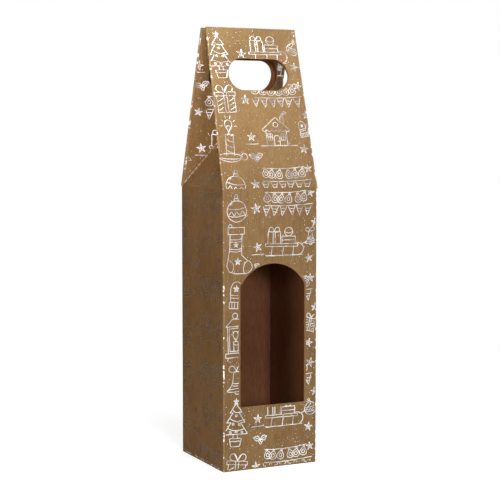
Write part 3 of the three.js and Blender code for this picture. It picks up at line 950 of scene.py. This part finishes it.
def stamped(node, body, shift, seed, margin=PRINT_MARGIN, bent=None):
    """The print on one panel, riding with it."""
    sheet = Sheet(node, margin)
    bm = foil_lines(node, sheet, sheet_of_motifs(sheet.low, sheet.high, shift, seed))
    dots = snow(sheet, seed)
    bm.from_mesh(dots)
    bpy.data.meshes.remove(dots)
    bmesh.ops.transform(bm, matrix=sheet.place, verts=bm.verts)
    if bent:
        for vert in bm.verts:
            vert.co = bent(vert.co)
    seated(new_piece(node + "_foil", bm, silver_foil), body)


noise.seed_set(WOBBLE_SEED)
for index, wall in enumerate(("front", "right", "back", "left")):
    stamped(f"{wall}_wall", "carton", 0, index, CORNER_RADIUS, swollen)
for index, end_name in enumerate(ENDS):
    stamped(f"{end_name}_handle_panel", f"{end_name}_handle", 0, 2 * index)
for side_name, side in SIDES.items():
    stamped(f"{side_name}_gusset_triangle", f"{side_name}_triangle", 0, 2 + side)
    for end_name, end in ENDS.items():
        corner = f"{end_name}_{side_name}"
        seed = 6 + 2 * side + end
        stamped(f"{corner}_gusset_leaf", f"{corner}_leaf", LEAF_SHIFT * side, seed)
        stamped(f"{corner}_gusset_fin", f"{corner}_fin", LEAF_SHIFT * side, seed)

# Set.
# A pale round table in a white room, with softboxes in front, above, at the left and behind, and a small
# gridded one for the gable. A dim card that only reflections show keeps the shaded foil from glaring.
CAMERA_PLACE = (-0.52706, -1.09367, 0.28819)
CAMERA_BACK = (-0.43386, -0.89709, 0.08368)
LENS = 98.7
WALLS_MIDDLE = (0, 0, 0.20)
HAND_HOLE = (0, 0, 0.36)
GABLE_SIDE = (-0.03, 0, 0.32)
WHITE = (1, 1, 1, 1)
BLACK = (0, 0, 0, 1)
ROOM_LIGHT = (0.04, 0.04, 0.04, 1)
TABLE_RADIUS = 0.60
TABLE_SHADE = (0.62, 0.62, 0.62, 1)
TABLE_GLOW = 0.68
FADE_START = 0.50
FADE_END = 0.98
CARD_FOOT = ((-0.0465, 0.080, 0.001), (-0.450, 0.200, 0.001))
CARD_HEIGHT = 0.60
CARD_LEAF = 0.14
CARD_SHADE = (0.130, 0.102, 0.082, 1)


def aimed(thing, place, way):
    """Puts a camera or a lamp at its place, looking along the way."""
    thing.location = place
    thing.rotation_mode = "QUATERNION"
    thing.rotation_quaternion = way.to_track_quat("-Z", "Y")


def softbox(name, place, aim, size, power, color=(1, 1, 1), beam=180):
    """A square lamp; a honeycomb grid narrows its beam, in degrees."""
    data = bpy.data.lights.new(name, "AREA")
    data.size = size
    data.energy = power
    data.color = color
    data.spread = math.radians(beam)
    lamp = new_object(name, data)
    lamp.visible_camera = False
    aimed(lamp, place, Vector(aim) - Vector(place))


camera = new_object("camera", bpy.data.cameras.new("camera"))
camera.data.lens = LENS
aimed(camera, CAMERA_PLACE, -Vector(CAMERA_BACK))
bpy.context.scene.camera = camera
softbox("front_softbox", (-0.20, -1.70, 0.45), WALLS_MIDDLE, 0.3, 9.9)
softbox("top_softbox", (-0.02, -0.36, 0.78), HAND_HOLE, 0.4, 4.6, (0.80, 0.96, 1.0))
softbox("gable_softbox", (-0.73, -0.70, 0.46), GABLE_SIDE, 0.12, 0.046, (1.0, 0.90, 0.72), beam=17)
softbox("left_softbox", (-1.25, -0.80, 0.25), WALLS_MIDDLE, 0.4, 3.8, (1.0, 0.92, 0.80))
softbox("warm_softbox", (-1.40, -0.45, 0.25), WALLS_MIDDLE, 0.4, 2.2, (1.0, 0.60, 0.35))
softbox("back_softbox", (0.95, 1.10, 0.55), WALLS_MIDDLE, 1.6, 19)


def seen_ray(tree):
    """1 for the rays of the camera, reflections and clear things, 0 for those that light a surface."""
    path = add_node(tree, "ShaderNodeLightPath").outputs
    clear = worked_out(tree, "MAXIMUM", path["Is Glossy Ray"], path["Is Transmission Ray"])
    return worked_out(tree, "MAXIMUM", path["Is Camera Ray"], clear)


def white_room():
    """A world that looks white and gives a plain soft light."""
    world = bpy.data.worlds.new("studio")
    world.use_nodes = True
    tree = world.node_tree
    color = mixed(tree, "MIX", seen_ray(tree), ROOM_LIGHT, WHITE)
    feed(tree, tree.nodes["Background"], {"Color": color})
    return world


def beside_the_box(tree, place):
    """0 under the box and 1 round it."""
    size = add_node(tree, "ShaderNodeVectorMath", {0: place}, operation="ABSOLUTE").outputs[0]
    parts = add_node(tree, "ShaderNodeSeparateXYZ", {"Vector": size}).outputs
    widest = worked_out(tree, "MAXIMUM", parts["X"], parts["Y"])
    return worked_out(tree, "GREATER_THAN", widest, half_width)


def table():
    """A pale disc that also glows to the camera and to reflections, but not under the box.

    It fades to plain white at its rim.
    """
    bm = bmesh.new()
    bmesh.ops.create_circle(bm, cap_ends=True, segments=128, radius=TABLE_RADIUS)
    material, tree, shader = new_material("pale_table")
    place = object_place(tree)
    reach = add_node(tree, "ShaderNodeVectorMath", {0: place}, operation="LENGTH").outputs["Value"]
    fade = ramped(tree, reach, FADE_START * TABLE_RADIUS, FADE_END * TABLE_RADIUS)
    glow = worked_out(tree, "MULTIPLY", seen_ray(tree), ramped(tree, fade, 0, 1, TABLE_GLOW, 1.0))
    feed(tree, shader, {
        "Base Color": mixed(tree, "MIX", fade, TABLE_SHADE, BLACK),
        "Roughness": 0.9,
        "Specular IOR Level": 0.1,
        "Emission Color": WHITE,
        "Emission Strength": worked_out(tree, "MULTIPLY", glow, beside_the_box(tree, place)),
    })
    return new_piece("table", bm, material)


def dim_card():
    """An upright card with a leaf on the table that glows dimly and shows only in reflections, as a painted
    dark reflection in the shaded foil; neither the camera nor the light meets it.
    """
    bm = bmesh.new()
    foot = bm.edges.new([bm.verts.new(corner) for corner in CARD_FOOT])
    for way in ((0, 0, CARD_HEIGHT), (0, -CARD_LEAF, 0)):
        pulled(bm, [foot], way)
    material, tree, shader = new_material("dim_card")
    feed(tree, shader, {
        "Base Color": BLACK,
        "Specular IOR Level": 0,
        "Emission Color": CARD_SHADE,
        "Emission Strength": 1,
    })
    card = new_piece("dim_card", bm, material)
    card.visible_camera = False
    card.visible_diffuse = False
    card.visible_shadow = False
    return card


bpy.context.scene.world = white_room()
dim_card()
table()
bpy.context.scene.view_settings.view_transform = "Standard"
